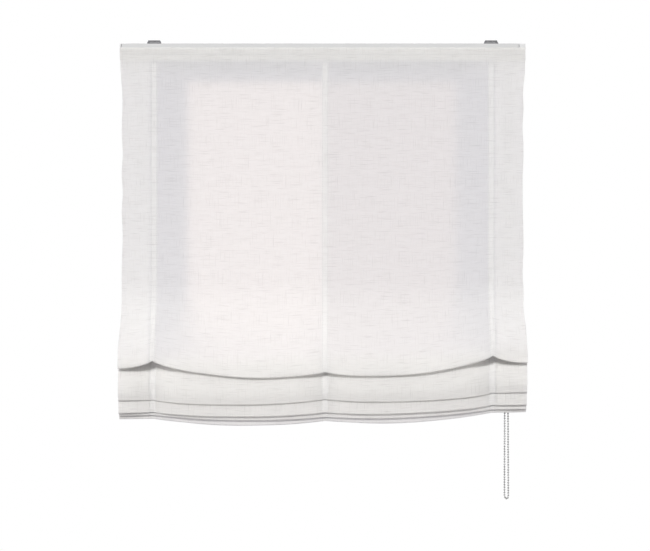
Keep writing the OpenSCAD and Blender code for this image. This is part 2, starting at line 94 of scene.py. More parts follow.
# What follows from those sizes
FOLDS = len(FOLD_DROP)
TURN_R = FOLD_GAP / 2
RING_Y = CLOTH_Y - TURN_R
SET_DOWN = RAIL_TOP - CLOTH_TOP
PANEL_H = LEAN_DROP - SET_DOWN

# Smaller sizes, and how flat the arcs above the folds are
TAIL_GAP = 6.0
ARC_FLAT = 0.45
RING_SIDE = 2.0
POCKET_TAPER = 6.0
POCKET_LAP = 0.95
CORD_START = 5.9
CORD_TAIL = 1.5
LINK_R = 0.6

# Turned hems, sewn tapes and stitches, which the solids don't have layer by layer
SIDE_HEM = 70.0
HEAD_HEM = 29.0
HEM_STEP = 0.3
HEM_TURN = 0.5
HEM_GAP = 0.75
END_GAP = 0.12
TAPE_LIFT = 0.5
STRIP_SEAMS = (10.0, 28.0)
SEAM_INSET = 1.5
SEAM_END = 6.0
STITCH_LIFT = 0.12
STITCH_PITCH = 4.2
STITCH_LENGTH = 3.0
STITCH_R = 0.4

# How the cords draw the folds back and up at the tapes, each share from left to right
BAY_PULL = 0.12
TAPE_PULL = 0.40
PULL_REACH = 34.0
PULL_SHARE = (1.0, 0.55, 1.0)
PULL_FLATTEN = 0.5
PINCH_LIFT = (5.0, 2.5, 2.0, 0.0, 0.0)
PINCH_REACH = 16.0
PINCH_SHARE = (1.0, 0.4, 1.0)
HOLLOW = 0.75
HOLLOW_REACH = 54.0
HOLLOW_LOW = 45.0
HOLLOW_HIGH = 8.0
FRONT_BOW = (0.0, 5.0, 2.0, 0.8, 0.8)
BOW_SKEW = 2.2

# A slight lean of the panel, and waves along its sides with their rates in radians a millimetre
PANEL_LEAN = 2.0
DRAW_REACH = 140.0
DRAW_END = 180.0
EDGE_WAVE = 1.1
EDGE_RATE = 0.047
EDGE_SWAY = (0.013, 0.004)

# Wrinkles: height, rates across and along the cloth, and a place in the noise
BROAD = (1.3, 0.006, 0.004, 3.1)
FINE = (0.35, 0.022, 0.012, 7.7)
PUCKER = (0.7, 0.03, 0.045, 1.9)
NEAR_TAPE = 22.0
NEAR_EDGE = 14.0
EDGE_SHARE = 0.6
HANG_REACH = 60.0
FOLD_REACH = 40.0
FOLD_KEEP = 0.2
RIPPLE = (0.35, 0.031, 0.02)

# Creases that fan out from where the tapes pinch the front fold
FAN_HEIGHT = 1.6
FAN_COUNT = 5.0
FAN_PHASE = 0.6
FAN_START = 25.0
FAN_REACH = 75.0
FAN_SHARE = (1.0, 0.35, 1.0)

# Rows of points along the stretches of the cloth, and columns across it
HEM_ROWS = 7
EDGE_ROWS = 3
FACE_ROWS = 110
LEAN_ROWS = 26
FRONT_ROWS = 14
TURN_ROWS = 10
BACK_ROWS = 8
RING_ROWS = 6
POCKET_ROWS = 4
HEM_START = 4
TAPE_START = 6
FACE_COLUMNS = 171
HEM_COLUMNS = 8
TAPE_COLUMNS = 6
SEAM_COLUMNS = 160
CORD_ROWS = 190
CORD_SIDES = 10


def mix(a, b, t):
    return a + (b - a) * t


def soft(t):
    return t * t * (3 - 2 * t)


def limit(t):
    return np.clip(t, 0.0, 1.0)


# Lines across the blind

def across(x, drop, rise, droop, sag, side):
    """Drop of a line that hangs on the three tapes and sags between them."""
    left, centre, right = TAPE_X
    bay = np.where(x < centre, (x - left) / (centre - left), (right - x) / (right - centre))
    wing = limit(-bay * (centre - left) / TAPE_INSET)
    level = drop - rise * (x - left) / (right - left)
    return np.where(bay < 0, level + side * wing * (2 - wing),
                    level + droop * bay + 4 * sag * bay * (1 - bay))


def fold_z(k, x):
    lift = sum(w * np.exp(-np.abs(x - t) / PINCH_REACH) for t, w in zip(TAPE_X, PINCH_SHARE))
    drop = across(x, FOLD_DROP[k], FOLD_RISE[k], CENTRE_DROOP[k], BAY_SAG[k], SIDE_DROOP[k])
    return RAIL_TOP - drop + PINCH_LIFT[k] * lift


def ring_z(k, x):
    return RAIL_TOP - across(x, RING_DROP + k * RING_PITCH, RING_RISE, RING_DROOP, RING_SAG, RING_SIDE)


def pocket_z(x):
    return RAIL_TOP - across(x, POCKET_DROP, RING_RISE, 0.0, 0.0, 0.0)


def pull(x, reach=PULL_REACH):
    """How strongly the nearest cord draws the folds back, from 0 to 1."""
    return sum(w * np.exp(-((x - t) / reach) ** 2) for t, w in zip(TAPE_X, PULL_SHARE))


def layer_back(k, x):
    """Depth of the back of a fold. The front fold isn't drawn back."""
    gather = mix(BAY_PULL, TAPE_PULL, limit(pull(x))) if k > 0 else 0.0 * x
    step = (FOLD_T + FOLD_GAP) * (1 - gather)
    return CLOTH_Y - TAIL_GAP - (FOLDS - 1 - k) * step


def layer_front(k, x):
    """Depth of the front of a fold, which the cords press flatter."""
    flatter = PULL_FLATTEN * TAPE_PULL * pull(x) if k > 0 else 0.0 * x
    return layer_back(k, x) - FOLD_T * (1 - flatter)


# The cloth's section, for many columns at once

class Path:
    """Rows of depth and height, each row holding one value for every column."""

    def __init__(self, x):
        self.x = x
        self.y = []
        self.z = []
        self.marks = {}

    def put(self, y, z):
        flat = np.zeros_like(self.x)
        self.y.append(flat + y)
        self.z.append(flat + z)

    def mark(self, name):
        self.marks[name] = len(self.y)

    def line(self, y, z, n, bow=0.0):
        """On to (y, z), bowing towards the front low down on the way."""
        y0, z0 = self.y[-1], self.z[-1]
        for i in range(1, n + 1):
            t = i / n
            self.put(mix(y0, y, t) - bow * math.sin(math.pi * t ** BOW_SKEW), mix(z0, z, t))

    def arc(self, cy, cz, ry, rz, a0, a1, n):
        for i in range(1, n + 1):
            a = math.radians(mix(a0, a1, i / n))
            self.put(cy + ry * math.cos(a), cz + rz * math.sin(a))


def add_head(p):
    """The head hem and its turn at the cloth's top edge."""
    for z in np.linspace(CLOTH_TOP - HEAD_HEM, CLOTH_TOP - HEM_STEP, HEM_ROWS):
        p.put(CLOTH_Y + HEM_STEP, z)
    p.arc(CLOTH_Y, CLOTH_TOP - HEM_STEP, HEM_STEP, HEM_STEP, 0, 180, EDGE_ROWS)


def add_panel(p):
    """The hanging panel, down to the turn of the front fold."""
    p.mark("face")
    lean_z = RAIL_TOP - LEAN_DROP
    lean_y = CLOTH_Y - HEM_STEP - PANEL_LEAN
    p.line(lean_y, lean_z, FACE_ROWS)
    front = layer_front(0, p.x)
    low = fold_z(0, p.x) + (layer_back(0, p.x) - front) / 2
    for i in range(1, LEAN_ROWS + 1):
        s = i / LEAN_ROWS
        p.put(mix(lean_y, front, soft(s)), mix(lean_z, low, s))


def add_fold(p, k):
    """A fold's front, its turn at the bottom and its back, up to the rings."""
    front, back = layer_front(k, p.x), layer_back(k, p.x)
    r = (back - front) / 2
    z = fold_z(k, p.x) + r
    if k > 0:
        p.line(front, z, FRONT_ROWS, FRONT_BOW[k])
    p.mark("turn_%d" % k)
    p.arc(front + r, z, r, r, 180, 360, TURN_ROWS)
    a = RING_Y - back
    top = ring_z(k, p.x) + TURN_R - ARC_FLAT * a
    p.line(back, top, BACK_ROWS)
    p.arc(RING_Y, top, a, ARC_FLAT * a, 180, 90, BACK_ROWS)
    p.mark("ring_%d" % k)


def add_ring_turn(p, k):
    """Round at the rings and out to the front of the next fold."""
    z = ring_z(k, p.x)
    p.arc(RING_Y, z, TURN_R, TURN_R, 90, -90, RING_ROWS)
    a = RING_Y - layer_front(k + 1, p.x)
    p.arc(RING_Y, z - TURN_R - ARC_FLAT * a, a, ARC_FLAT * a, 90, 180, BACK_ROWS)


def add_pocket(p):
    """Down from the lowest rings, and round the weight bar."""
    p.arc(RING_Y, ring_z(FOLDS - 1, p.x), TURN_R, TURN_R, 90, 0, RING_ROWS // 2)
    p.mark("tail")
    z = pocket_z(p.x) + POCKET_HALF
    top = z + BAR_H + 2 * BAR_PLAY
    p.line(CLOTH_Y, top + POCKET_TAPER, POCKET_ROWS)
    p.mark("pocket")
    p.line(CLOTH_Y + POCKET_HALF, top, POCKET_ROWS // 2)
    p.line(CLOTH_Y + POCKET_HALF, z, POCKET_ROWS)
    p.arc(CLOTH_Y, z, POCKET_HALF, POCKET_HALF, 0, -180, RING_ROWS)
    p.line(CLOTH_Y - POCKET_HALF, top, POCKET_ROWS)
    p.line(CLOTH_Y - POCKET_LAP, top + POCKET_TAPER, POCKET_ROWS // 2)
    p.line(CLOTH_Y - POCKET_LAP, top + 2 * POCKET_TAPER, 1)


def cloth_path(x):
    """The whole cloth from the end of its head hem to the end of the bar's pocket."""
    p = Path(x)
    add_head(p)
    add_panel(p)
    for k in range(FOLDS - 1):
        add_fold(p, k)
        add_ring_turn(p, k)
    add_fold(p, FOLDS - 1)
    add_pocket(p)
    return np.array(p.y), np.array(p.z), p.marks


def back_of(y, z):
    """Direction towards the cloth's back at every point of a section."""
    dy, dz = np.gradient(y, axis=0), np.gradient(z, axis=0)
    n = np.hypot(dy, dz)
    return -dz / n, dy / n


def run_of(y, z):
    """Length of cloth from its first row to each row."""
    d = np.hypot(np.diff(y, axis=0), np.diff(z, axis=0))
    return np.vstack([np.zeros_like(y[:1]), np.cumsum(d, axis=0)])


def drawn(x, z):
    """The sides of the panel draw in, in slight waves, between the rail and the folds."""
    w = limit((np.abs(x) - HALF_W + TAPE_INSET - TAPE_W) / (TAPE_INSET - TAPE_W))
    down = soft(limit((CLOTH_TOP - z) / DRAW_REACH))
    up = soft(limit((z + LEAN_DROP + DRAW_END) / DRAW_REACH))
    sway = np.sin(z * EDGE_SWAY[0] + x * EDGE_SWAY[1])
    wave = EDGE_WAVE * np.sin(z * EDGE_RATE + 2 * sway)
    return x - np.sign(x) * (SIDE_DRAW + wave) * w * down * up


def noise_field(kind, x, run):
    """Smooth noise over the cloth, at its height in millimetres."""
    height, rate_across, rate_along, place = kind
    field = np.zeros_like(x)
    for (i, j), at in np.ndenumerate(x):
        field[i, j] = height * noise.noise(Vector((at * rate_across, run[i, j] * rate_along, place)))
    return field


def fans(x, z):
    """Creases that spread up the panel from the pinches of the front fold."""
    out = np.zeros_like(x)
    for t, share in zip(TAPE_X, FAN_SHARE):
        dx = x - t
        dz = z - fold_z(0, np.zeros_like(x) + t)
        far = np.hypot(dx, dz)
        crease = np.sin(FAN_COUNT * np.arctan2(dx, np.maximum(dz, 1.0)) + FAN_PHASE)
        out += share * FAN_HEIGHT * crease * np.exp(-far / FAN_REACH) * limit(far / FAN_START) * (dz > 0)
    return out


def wrinkles(x, z, run, marks):
    """Small moves of the cloth, in millimetres towards its back."""
    rows = np.arange(len(x))[:, None]
    face = (rows >= marks["face"]) & (rows < marks["turn_0"])
    in_folds = (rows >= marks["turn_0"]) & (rows < marks["tail"])
    below_rail = soft(limit((RAIL_BOTTOM - z) / HANG_REACH))
    above_fold = soft(limit((z - fold_z(0, x)) / FOLD_REACH + FOLD_KEEP))
    near = sum(np.exp(-((x - t) / NEAR_TAPE) ** 2) for t in TAPE_X)
    edge = np.exp(-((HALF_W - np.abs(x)) / NEAR_EDGE) ** 2)
    out = noise_field(BROAD, x, run) + noise_field(FINE, x, run)
    out += noise_field(PUCKER, x, run) * (near + EDGE_SHARE * edge)
    out += fans(x, z)
    height, rate_across, rate_along = RIPPLE
    ripple = height * np.sin(x * rate_across + run * rate_along) * in_folds * (1 - limit(pull(x)))
    return np.where(face, out * (below_rail * above_fold), 0.0) + ripple


def hollowed(x, y, z, marks):
    """Draws the folds behind the front one back towards their rings, under the front fold's edge."""
    rows = np.arange(len(y))[:, None]
    low = fold_z(1, x) + HOLLOW_LOW
    high = ring_z(0, x) - HOLLOW_HIGH
    share = HOLLOW * limit(pull(x, HOLLOW_REACH)) * soft(limit((z - low) / (high - low)))
    behind = (rows > marks["ring_0"] + RING_ROWS) & (rows < marks["tail"])
    return np.where(behind, mix(y, RING_Y, share), y)


def cloth_surface(x):
    """Points, directions to the back, lengths of cloth and marks for columns at x."""
    y, z, marks = cloth_path(x)
    y = hollowed(x, y, z, marks)
    ny, nz = back_of(y, z)
    run = run_of(y, z)
    wide = np.zeros_like(y) + x
    d = wrinkles(wide, z, run, marks)
    points = np.stack([drawn(wide, z), y + d * ny, z + d * nz], axis=-1)
    back = np.stack([np.zeros_like(ny), ny, nz], axis=-1)
    return points, back, run, marks


# Meshes from grids of points

def mesh_piece(name, verts, faces, uvs, material):
    """A smooth object at the origin from points in millimetres, with one UV for every point."""
    mesh = bpy.data.meshes.new(name)
    mesh.from_pydata((np.asarray(verts) * MM).tolist(), [], faces)
    layer = mesh.uv_layers.new(name="UVMap")
    index = np.empty(len(mesh.loops), dtype=np.int32)
    mesh.loops.foreach_get("vertex_index", index)
    layer.data.foreach_set("uv", np.asarray(uvs, dtype=np.float32)[index].ravel())
    mesh.polygons.foreach_set("use_smooth", np.ones(len(mesh.polygons), dtype=bool))
    mesh.materials.append(material)
    mesh.update()
    obj = bpy.data.objects.new(name, mesh)
    bpy.context.scene.collection.objects.link(obj)
    return obj


def grid_faces(rows, cols, closed):
    faces = []
    for r in range(rows - 1):
        for c in range(cols if closed else cols - 1):
            n = (c + 1) % cols
            faces.append((r * cols + c, (r + 1) * cols + c, (r + 1) * cols + n, r * cols + n))
    return faces


def cloth_piece(material):
    """One sheet of cloth: the face, and both side hems turned behind it."""
    turn = HALF_W - HEM_TURN
    face = np.unique(np.concatenate([np.linspace(-HALF_W, HALF_W, FACE_COLUMNS), TAPE_X, (-turn, turn),
                                     [t + d for t in TAPE_X for d in (-TAPE_W / 2, TAPE_W / 2)]]))
    hem = np.append(np.linspace(HALF_W - SIDE_HEM, turn - HEM_TURN, HEM_COLUMNS), turn)
    x = np.concatenate([-hem, face, hem[::-1]])
    behind = np.concatenate([np.ones(len(hem)), np.zeros(len(face)), np.ones(len(hem))])
    flat = np.concatenate([-2 * HALF_W + hem, face, 2 * HALF_W - hem[::-1]])
    points, back, run, marks = cloth_surface(x)
    rows = np.arange(len(run))[:, None]
    hemmed = (rows >= marks["face"] + HEM_START) & (rows < marks["tail"])
    points = points + back * (behind * np.where(hemmed, HEM_GAP, END_GAP))[..., None]
    along = np.zeros_like(run) + run.mean(axis=1, keepdims=True)
    uvs = np.stack([np.zeros_like(run) + flat * MM, -along * MM], axis=-1)
    n_rows, n_cols = run.shape
    obj = mesh_piece("linen_cloth", points.reshape(-1, 3), grid_faces(n_rows, n_cols, False),
                     uvs.reshape(-1, 2), material)
    return obj, (flat[-1] - flat[0]) * MM, float(run[-1].mean()) * MM


def tape_piece(name, x, material):
    """A flat woven tape on the cloth's back, through all its folds."""
    cols = x + np.linspace(-TAPE_W / 2, TAPE_W / 2, TAPE_COLUMNS)
    points, back, run, marks = cloth_surface(cols)
    first = marks["face"] + TAPE_START
    last = marks["pocket"]
    near = (points + TAPE_LIFT * back)[first:last]
    far = (points + (TAPE_LIFT + TAPE_T) * back)[first:last]
    ring = np.concatenate([near, far[:, ::-1]], axis=1)
    n, around = ring.shape[:2]
    across_tape = np.zeros((n, around)) + np.concatenate([cols, cols[::-1]]) * MM
    along_tape = np.concatenate([run, run[:, ::-1]], axis=1)[first:last] * MM
    uvs = np.stack([across_tape, -along_tape], axis=-1)
    faces = grid_faces(n, around, True)
    faces.append(tuple(range(around)))
    faces.append(tuple(range(n * around - 1, (n - 1) * around - 1, -1)))
    return mesh_piece(name, ring.reshape(-1, 3), faces, uvs.reshape(-1, 2), material)


def cord_piece(name, x, material):
    """A round braided lift cord from the drum to the stop on its end."""
    top = AXIS_Z - CORD_START
    low = float(ring_z(FOLDS - 1, np.array(x))) - RING_WIRE - STOP_H - CORD_TAIL
    verts, uvs = [], []
    for z in np.linspace(top, low, CORD_ROWS):
        for i in range(CORD_SIDES):
            a = 2 * math.pi * i / CORD_SIDES
            verts.append((x + CORD_D / 2 * math.cos(a), CORD_Y + CORD_D / 2 * math.sin(a), z))
            uvs.append((i / CORD_SIDES, (top - z) * MM))
    faces = grid_faces(CORD_ROWS, CORD_SIDES, True)
    faces.append(tuple(range(CORD_SIDES)))
    faces.append(tuple(range(len(verts) - 1, len(verts) - 1 - CORD_SIDES, -1)))
    return mesh_piece(name, verts, faces, uvs, material)


def lines_object(name, lines, closed=False):
    """Loose polylines as a mesh of points and edges, for a node tree to dress."""
    verts, edges = [], []
    for line in lines:
        base = len(verts)
        verts.extend((np.asarray(line) * MM).tolist())
        edges.extend((base + i, base + i + 1) for i in range(len(line) - 1))
        if closed:
            edges.append((base + len(line) - 1, base))
    mesh = bpy.data.meshes.new(name)
    mesh.from_pydata(verts, edges, [])
    obj = bpy.data.objects.new(name, mesh)
    bpy.context.scene.collection.objects.link(obj)
    return obj


# Node trees that repeat small shapes

def new_tree(name, inputs):
    """An empty geometry tree with named inputs, its input and output nodes, and the inputs' identifiers."""
    tree = bpy.data.node_groups.new(name, "GeometryNodeTree")
    tree.interface.new_socket("Geometry", in_out="INPUT", socket_type="NodeSocketGeometry")
    ids = {}
    for label, kind in inputs:
        ids[label] = tree.interface.new_socket(label, in_out="INPUT", socket_type=kind).identifier
    tree.interface.new_socket("Geometry", in_out="OUTPUT", socket_type="NodeSocketGeometry")
    return tree, tree.nodes.new("NodeGroupInput"), tree.nodes.new("NodeGroupOutput"), ids


def finish_tree(tree, start, end, geometry):
    """Realize Instances, smooth shading and the material, into the output."""
    real = tree.nodes.new("GeometryNodeRealizeInstances")
    smooth = tree.nodes.new("GeometryNodeSetShadeSmooth")
    paint = tree.nodes.new("GeometryNodeSetMaterial")
    tree.links.new(geometry, real.inputs["Geometry"])
    tree.links.new(real.outputs["Geometry"], smooth.inputs["Geometry"])
    tree.links.new(smooth.outputs["Geometry"], paint.inputs["Geometry"])
    tree.links.new(start.outputs["Material"], paint.inputs["Material"])
    tree.links.new(paint.outputs["Geometry"], end.inputs["Geometry"])


def made_by(obj, tree, ids, values):
    """Runs a tree on obj and leaves its result as obj's plain mesh."""
    mod = obj.modifiers.new(tree.name, "NODES")
    mod.node_group = tree
    for label, value in values.items():
        mod[ids[label]] = value
    bpy.context.view_layer.update()
    graph = bpy.context.evaluated_depsgraph_get()
    mesh = bpy.data.meshes.new_from_object(obj.evaluated_get(graph))
    old = obj.data
    obj.modifiers.remove(mod)
    obj.data = mesh
    mesh.name = obj.name
    bpy.data.meshes.remove(old)


def stitch_tree():
    """Short thread dashes at an even pitch along lines."""
    tree, start, end, ids = new_tree("stitch_row", [
        ("Pitch", "NodeSocketFloat"), ("Length", "NodeSocketFloat"), ("Radius", "NodeSocketFloat"),
        ("Material", "NodeSocketMaterial")])
    add, link = tree.nodes.new, tree.links.new
    curve = add("GeometryNodeMeshToCurve")
    even = add("GeometryNodeResampleCurve")
    even.mode = "LENGTH"
    dash = add("GeometryNodeMeshCylinder")
    dash.inputs["Vertices"].default_value = 5
    tangent = add("GeometryNodeInputTangent")
    turn = add("FunctionNodeAlignRotationToVector")
    turn.axis = "Z"
    place = add("GeometryNodeInstanceOnPoints")
    link(start.outputs["Geometry"], curve.inputs["Mesh"])
    link(curve.outputs["Curve"], even.inputs["Curve"])
    link(start.outputs["Pitch"], even.inputs["Length"])
    link(start.outputs["Radius"], dash.inputs["Radius"])
    link(start.outputs["Length"], dash.inputs["Depth"])
    link(tangent.outputs["Tangent"], turn.inputs["Vector"])
    link(even.outputs["Curve"], place.inputs["Points"])
    link(dash.outputs["Mesh"], place.inputs["Instance"])
    link(turn.outputs["Rotation"], place.inputs["Rotation"])
    finish_tree(tree, start, end, place.outputs["Instances"])
    return tree, ids


def ring_tree():
    """A round wire ring, lying flat, on every point."""
    tree, start, end, ids = new_tree("cord_ring", [
        ("Ring radius", "NodeSocketFloat"), ("Wire radius", "NodeSocketFloat"),
        ("Material", "NodeSocketMaterial")])
    add, link = tree.nodes.new, tree.links.new
    round_line = add("GeometryNodeCurvePrimitiveCircle")
    round_line.inputs["Resolution"].default_value = 32
    wire = add("GeometryNodeCurvePrimitiveCircle")
    wire.inputs["Resolution"].default_value = 10
    sweep = add("GeometryNodeCurveToMesh")
    place = add("GeometryNodeInstanceOnPoints")
    link(start.outputs["Ring radius"], round_line.inputs["Radius"])
    link(start.outputs["Wire radius"], wire.inputs["Radius"])
    link(round_line.outputs["Curve"], sweep.inputs["Curve"])
    link(wire.outputs["Curve"], sweep.inputs["Profile Curve"])
    link(start.outputs["Geometry"], place.inputs["Points"])
    link(sweep.outputs["Mesh"], place.inputs["Instance"])
    finish_tree(tree, start, end, place.outputs["Instances"])
    return tree, ids


def chain_tree():
    """A ball on every point of a path, and thin links between them."""
    tree, start, end, ids = new_tree("ball_chain", [
        ("Ball radius", "NodeSocketFloat"), ("Link radius", "NodeSocketFloat"),
        ("Material", "NodeSocketMaterial")])
    add, link = tree.nodes.new, tree.links.new
    ball = add("GeometryNodeMeshUVSphere")
    ball.inputs["Segments"].default_value = 12
    ball.inputs["Rings"].default_value = 8
    place = add("GeometryNodeInstanceOnPoints")
    curve = add("GeometryNodeMeshToCurve")
    wire = add("GeometryNodeCurvePrimitiveCircle")
    wire.inputs["Resolution"].default_value = 6
    sweep = add("GeometryNodeCurveToMesh")
    both = add("GeometryNodeJoinGeometry")
    link(start.outputs["Ball radius"], ball.inputs["Radius"])
    link(start.outputs["Geometry"], place.inputs["Points"])
    link(ball.outputs["Mesh"], place.inputs["Instance"])
    link(start.outputs["Geometry"], curve.inputs["Mesh"])
    link(start.outputs["Link radius"], wire.inputs["Radius"])
    link(curve.outputs["Curve"], sweep.inputs["Curve"])
    link(wire.outputs["Curve"], sweep.inputs["Profile Curve"])
    link(place.outputs["Instances"], both.inputs["Geometry"])
    link(sweep.outputs["Mesh"], both.inputs["Geometry"])
    finish_tree(tree, start, end, both.outputs["Geometry"])
    return tree, ids


# Surface effects shared by several finishes, with the grains' counts a metre along each axis

WEFT_GRAIN = (24.0, 560.0, 1.0)
WARP_GRAIN = (560.0, 22.0, 1.0)
HAZE_GRAIN = (30.0, 90.0, 1.0)
WEFT_RANGE = (0.55, 0.80)
WARP_RANGE = (0.56, 0.80)
WARP_SHARE = 0.75
TONE_LEVEL = 0.74
SLUB_TONE = -0.72
HAZE_TONE = 0.35
CROSS_TONE = 0.06
SLUB_HEIGHT = 0.7
CROSS_HEIGHT = 0.3
CLOUD_GRAIN = (28.0, 28.0, 28.0)
LINE_GRAIN = (25.0, 2600.0, 2600.0)
SMUDGE_GRAIN = (60.0, 60.0, 60.0)


def new_effect(name, inputs, outputs):
    group = bpy.data.node_groups.new(name, "ShaderNodeTree")
    for label, kind, value in inputs:
        socket = group.interface.new_socket(label, in_out="INPUT", socket_type=kind)
        if value is not None:
            socket.default_value = value
    for label, kind in outputs:
        group.interface.new_socket(label, in_out="OUTPUT", socket_type=kind)
    return group, group.nodes.new("NodeGroupInput"), group.nodes.new("NodeGroupOutput")


def math_node(group, kind, a, b=None):
    """A Math node whose inputs are sockets or plain numbers."""
    node = group.nodes.new("ShaderNodeMath")
    node.operation = kind
    for socket, value in zip(node.inputs, (a, b)):
        if value is None:
            continue
        if isinstance(value, (int, float)):
            socket.default_value = value
        else:
            group.links.new(value, socket)
    return node.outputs["Value"]


def stretched_noise(group, vector, scale, detail=2.0, roughness=0.5):
    """Noise on a vector whose axes are scaled apart, so that its grains are long or round."""
    fit = group.nodes.new("ShaderNodeVectorMath")
    fit.operation = "MULTIPLY"
    fit.inputs[1].default_value = scale
    group.links.new(vector, fit.inputs[0])
    grain = group.nodes.new("ShaderNodeTexNoise")
    grain.inputs["Scale"].default_value = 1.0
    grain.inputs["Detail"].default_value = detail
    grain.inputs["Roughness"].default_value = roughness
    group.links.new(fit.outputs["Vector"], grain.inputs["Vector"])
    return grain.outputs["Fac"]


def ranged(group, value, low, high, to_low=0.0, to_high=1.0):
    node = group.nodes.new("ShaderNodeMapRange")
    node.inputs["From Min"].default_value = low
    node.inputs["From Max"].default_value = high
    node.inputs["To Min"].default_value = to_low
    node.inputs["To Max"].default_value = to_high
    group.links.new(value, node.inputs["Value"])
    return node.outputs["Result"]


def weave_effect():
    """Plain weave with thick and thin threads both ways. Vector is in metres across and along the cloth."""
    group, start, end = new_effect(
        "slub_weave",
        [("Vector", "NodeSocketVector", None), ("Threads per metre", "NodeSocketFloat", 1100.0),
         ("Slub", "NodeSocketFloat", 1.0)],
        [("Tone", "NodeSocketFloat"), ("Height", "NodeSocketFloat")])
    vector = start.outputs["Vector"]
    weft = ranged(group, stretched_noise(group, vector, WEFT_GRAIN, 3.0), *WEFT_RANGE)
    warp = ranged(group, stretched_noise(group, vector, WARP_GRAIN, 3.0), *WARP_RANGE)
    haze = stretched_noise(group, vector, HAZE_GRAIN, 3.0, 0.6)
    slubs = math_node(group, "MAXIMUM", weft, math_node(group, "MULTIPLY", warp, WARP_SHARE))
    slubs = math_node(group, "MULTIPLY", slubs, start.outputs["Slub"])
    split = group.nodes.new("ShaderNodeSeparateXYZ")
    group.links.new(vector, split.inputs["Vector"])
    count = math_node(group, "MULTIPLY", start.outputs["Threads per metre"], math.pi)
    over = math_node(group, "SINE", math_node(group, "MULTIPLY", split.outputs["X"], count))
    under = math_node(group, "SINE", math_node(group, "MULTIPLY", split.outputs["Y"], count))
    cross = math_node(group, "MULTIPLY", over, under)
    tone = math_node(group, "ADD", math_node(group, "MULTIPLY", slubs, SLUB_TONE),
                     math_node(group, "MULTIPLY", haze, HAZE_TONE))
    tone = math_node(group, "ADD", tone, math_node(group, "MULTIPLY", cross, CROSS_TONE))
    group.links.new(math_node(group, "ADD", tone, TONE_LEVEL), end.inputs["Tone"])
    high = math_node(group, "ADD", math_node(group, "MULTIPLY", slubs, SLUB_HEIGHT),
                     math_node(group, "MULTIPLY", cross, CROSS_HEIGHT))
    group.links.new(high, end.inputs["Height"])
    return group


def grain_effect():
    """Fine moulded or coated grain, with slight cloudy wear."""
    group, start, end = new_effect(
        "fine_grain",
        [("Vector", "NodeSocketVector", None), ("Grain size", "NodeSocketFloat", 900.0)],
        [("Cloud", "NodeSocketFloat"), ("Grain", "NodeSocketFloat")])
    fit = group.nodes.new("ShaderNodeVectorMath")
    fit.operation = "SCALE"
    group.links.new(start.outputs["Vector"], fit.inputs[0])
    group.links.new(start.outputs["Grain size"], fit.inputs["Scale"])
    grain = stretched_noise(group, fit.outputs["Vector"], (1.0, 1.0, 1.0), 3.0, 0.6)
    cloud = stretched_noise(group, start.outputs["Vector"], CLOUD_GRAIN, 4.0, 0.55)
    group.links.new(cloud, end.inputs["Cloud"])
    group.links.new(grain, end.inputs["Grain"])
    return group


def brush_effect():
    """Fine lines of drawn or rolled metal along one axis."""
    group, start, end = new_effect(
        "drawn_lines",
        [("Vector", "NodeSocketVector", None)],
        [("Lines", "NodeSocketFloat"), ("Smudge", "NodeSocketFloat")])
    lines = stretched_noise(group, start.outputs["Vector"], LINE_GRAIN, 3.0, 0.6)
    smudge = stretched_noise(group, start.outputs["Vector"], SMUDGE_GRAIN, 4.0, 0.6)
    group.links.new(lines, end.inputs["Lines"])
    group.links.new(smudge, end.inputs["Smudge"])
    return group


WEAVE = weave_effect()
GRAIN = grain_effect()
BRUSH = brush_effect()


# Finishes

def new_finish(name):
    material = bpy.data.materials.new(name)
    material.use_nodes = True
    tree = material.node_tree
    return material, tree, tree.nodes["Principled BSDF"]


def effect_node(tree, group, vector, **values):
    node = tree.nodes.new("ShaderNodeGroup")
    node.node_tree = group
    tree.links.new(vector, node.inputs["Vector"])
    for label, value in values.items():
        node.inputs[label.replace("_", " ")].default_value = value
    return node


def object_vector(tree):
    return tree.nodes.new("ShaderNodeTexCoord").outputs["Object"]


def uv_vector(tree):
    return tree.nodes.new("ShaderNodeTexCoord").outputs["UV"]


def toned(tree, factor, dark, light):
    """A colour between two, by a factor that changes over the surface."""
    ramp = tree.nodes.new("ShaderNodeValToRGB")
    ramp.color_ramp.elements[0].color = (*dark, 1.0)
    ramp.color_ramp.elements[1].color = (*light, 1.0)
    tree.links.new(factor, ramp.inputs["Fac"])
    return ramp.outputs["Color"]


def bumped(tree, height, strength, distance):
    bump = tree.nodes.new("ShaderNodeBump")
    bump.inputs["Strength"].default_value = strength
    bump.inputs["Distance"].default_value = distance
    tree.links.new(height, bump.inputs["Height"])
    return bump.outputs["Normal"]


def see_through(tree, body, colour, normal, share):
    """Lets a share of the light through a thin cloth."""
    through = tree.nodes.new("ShaderNodeBsdfTranslucent")
    tree.links.new(colour, through.inputs["Color"])
    tree.links.new(normal, through.inputs["Normal"])
    both = tree.nodes.new("ShaderNodeMixShader")
    both.inputs["Fac"].default_value = share
    tree.links.new(body.outputs["BSDF"], both.inputs[1])
    tree.links.new(through.outputs["BSDF"], both.inputs[2])
    tree.links.new(both.outputs["Shader"], tree.nodes["Material Output"].inputs["Surface"])


def thin_cloth(name, threads, slub, dark, light, bump, share):
    """Woven cloth that lets a share of the light through, from its threads a metre and their unevenness."""
    material, tree, cloth = new_finish(name)
    weave = effect_node(tree, WEAVE, uv_vector(tree), Threads_per_metre=threads, Slub=slub)
    colour = toned(tree, weave.outputs["Tone"], dark, light)
    normal = bumped(tree, weave.outputs["Height"], strength=bump, distance=0.0004)
    tree.links.new(colour, cloth.inputs["Base Color"])
    tree.links.new(normal, cloth.inputs["Normal"])
    see_through(tree, cloth, colour, normal, share)
    return material, cloth


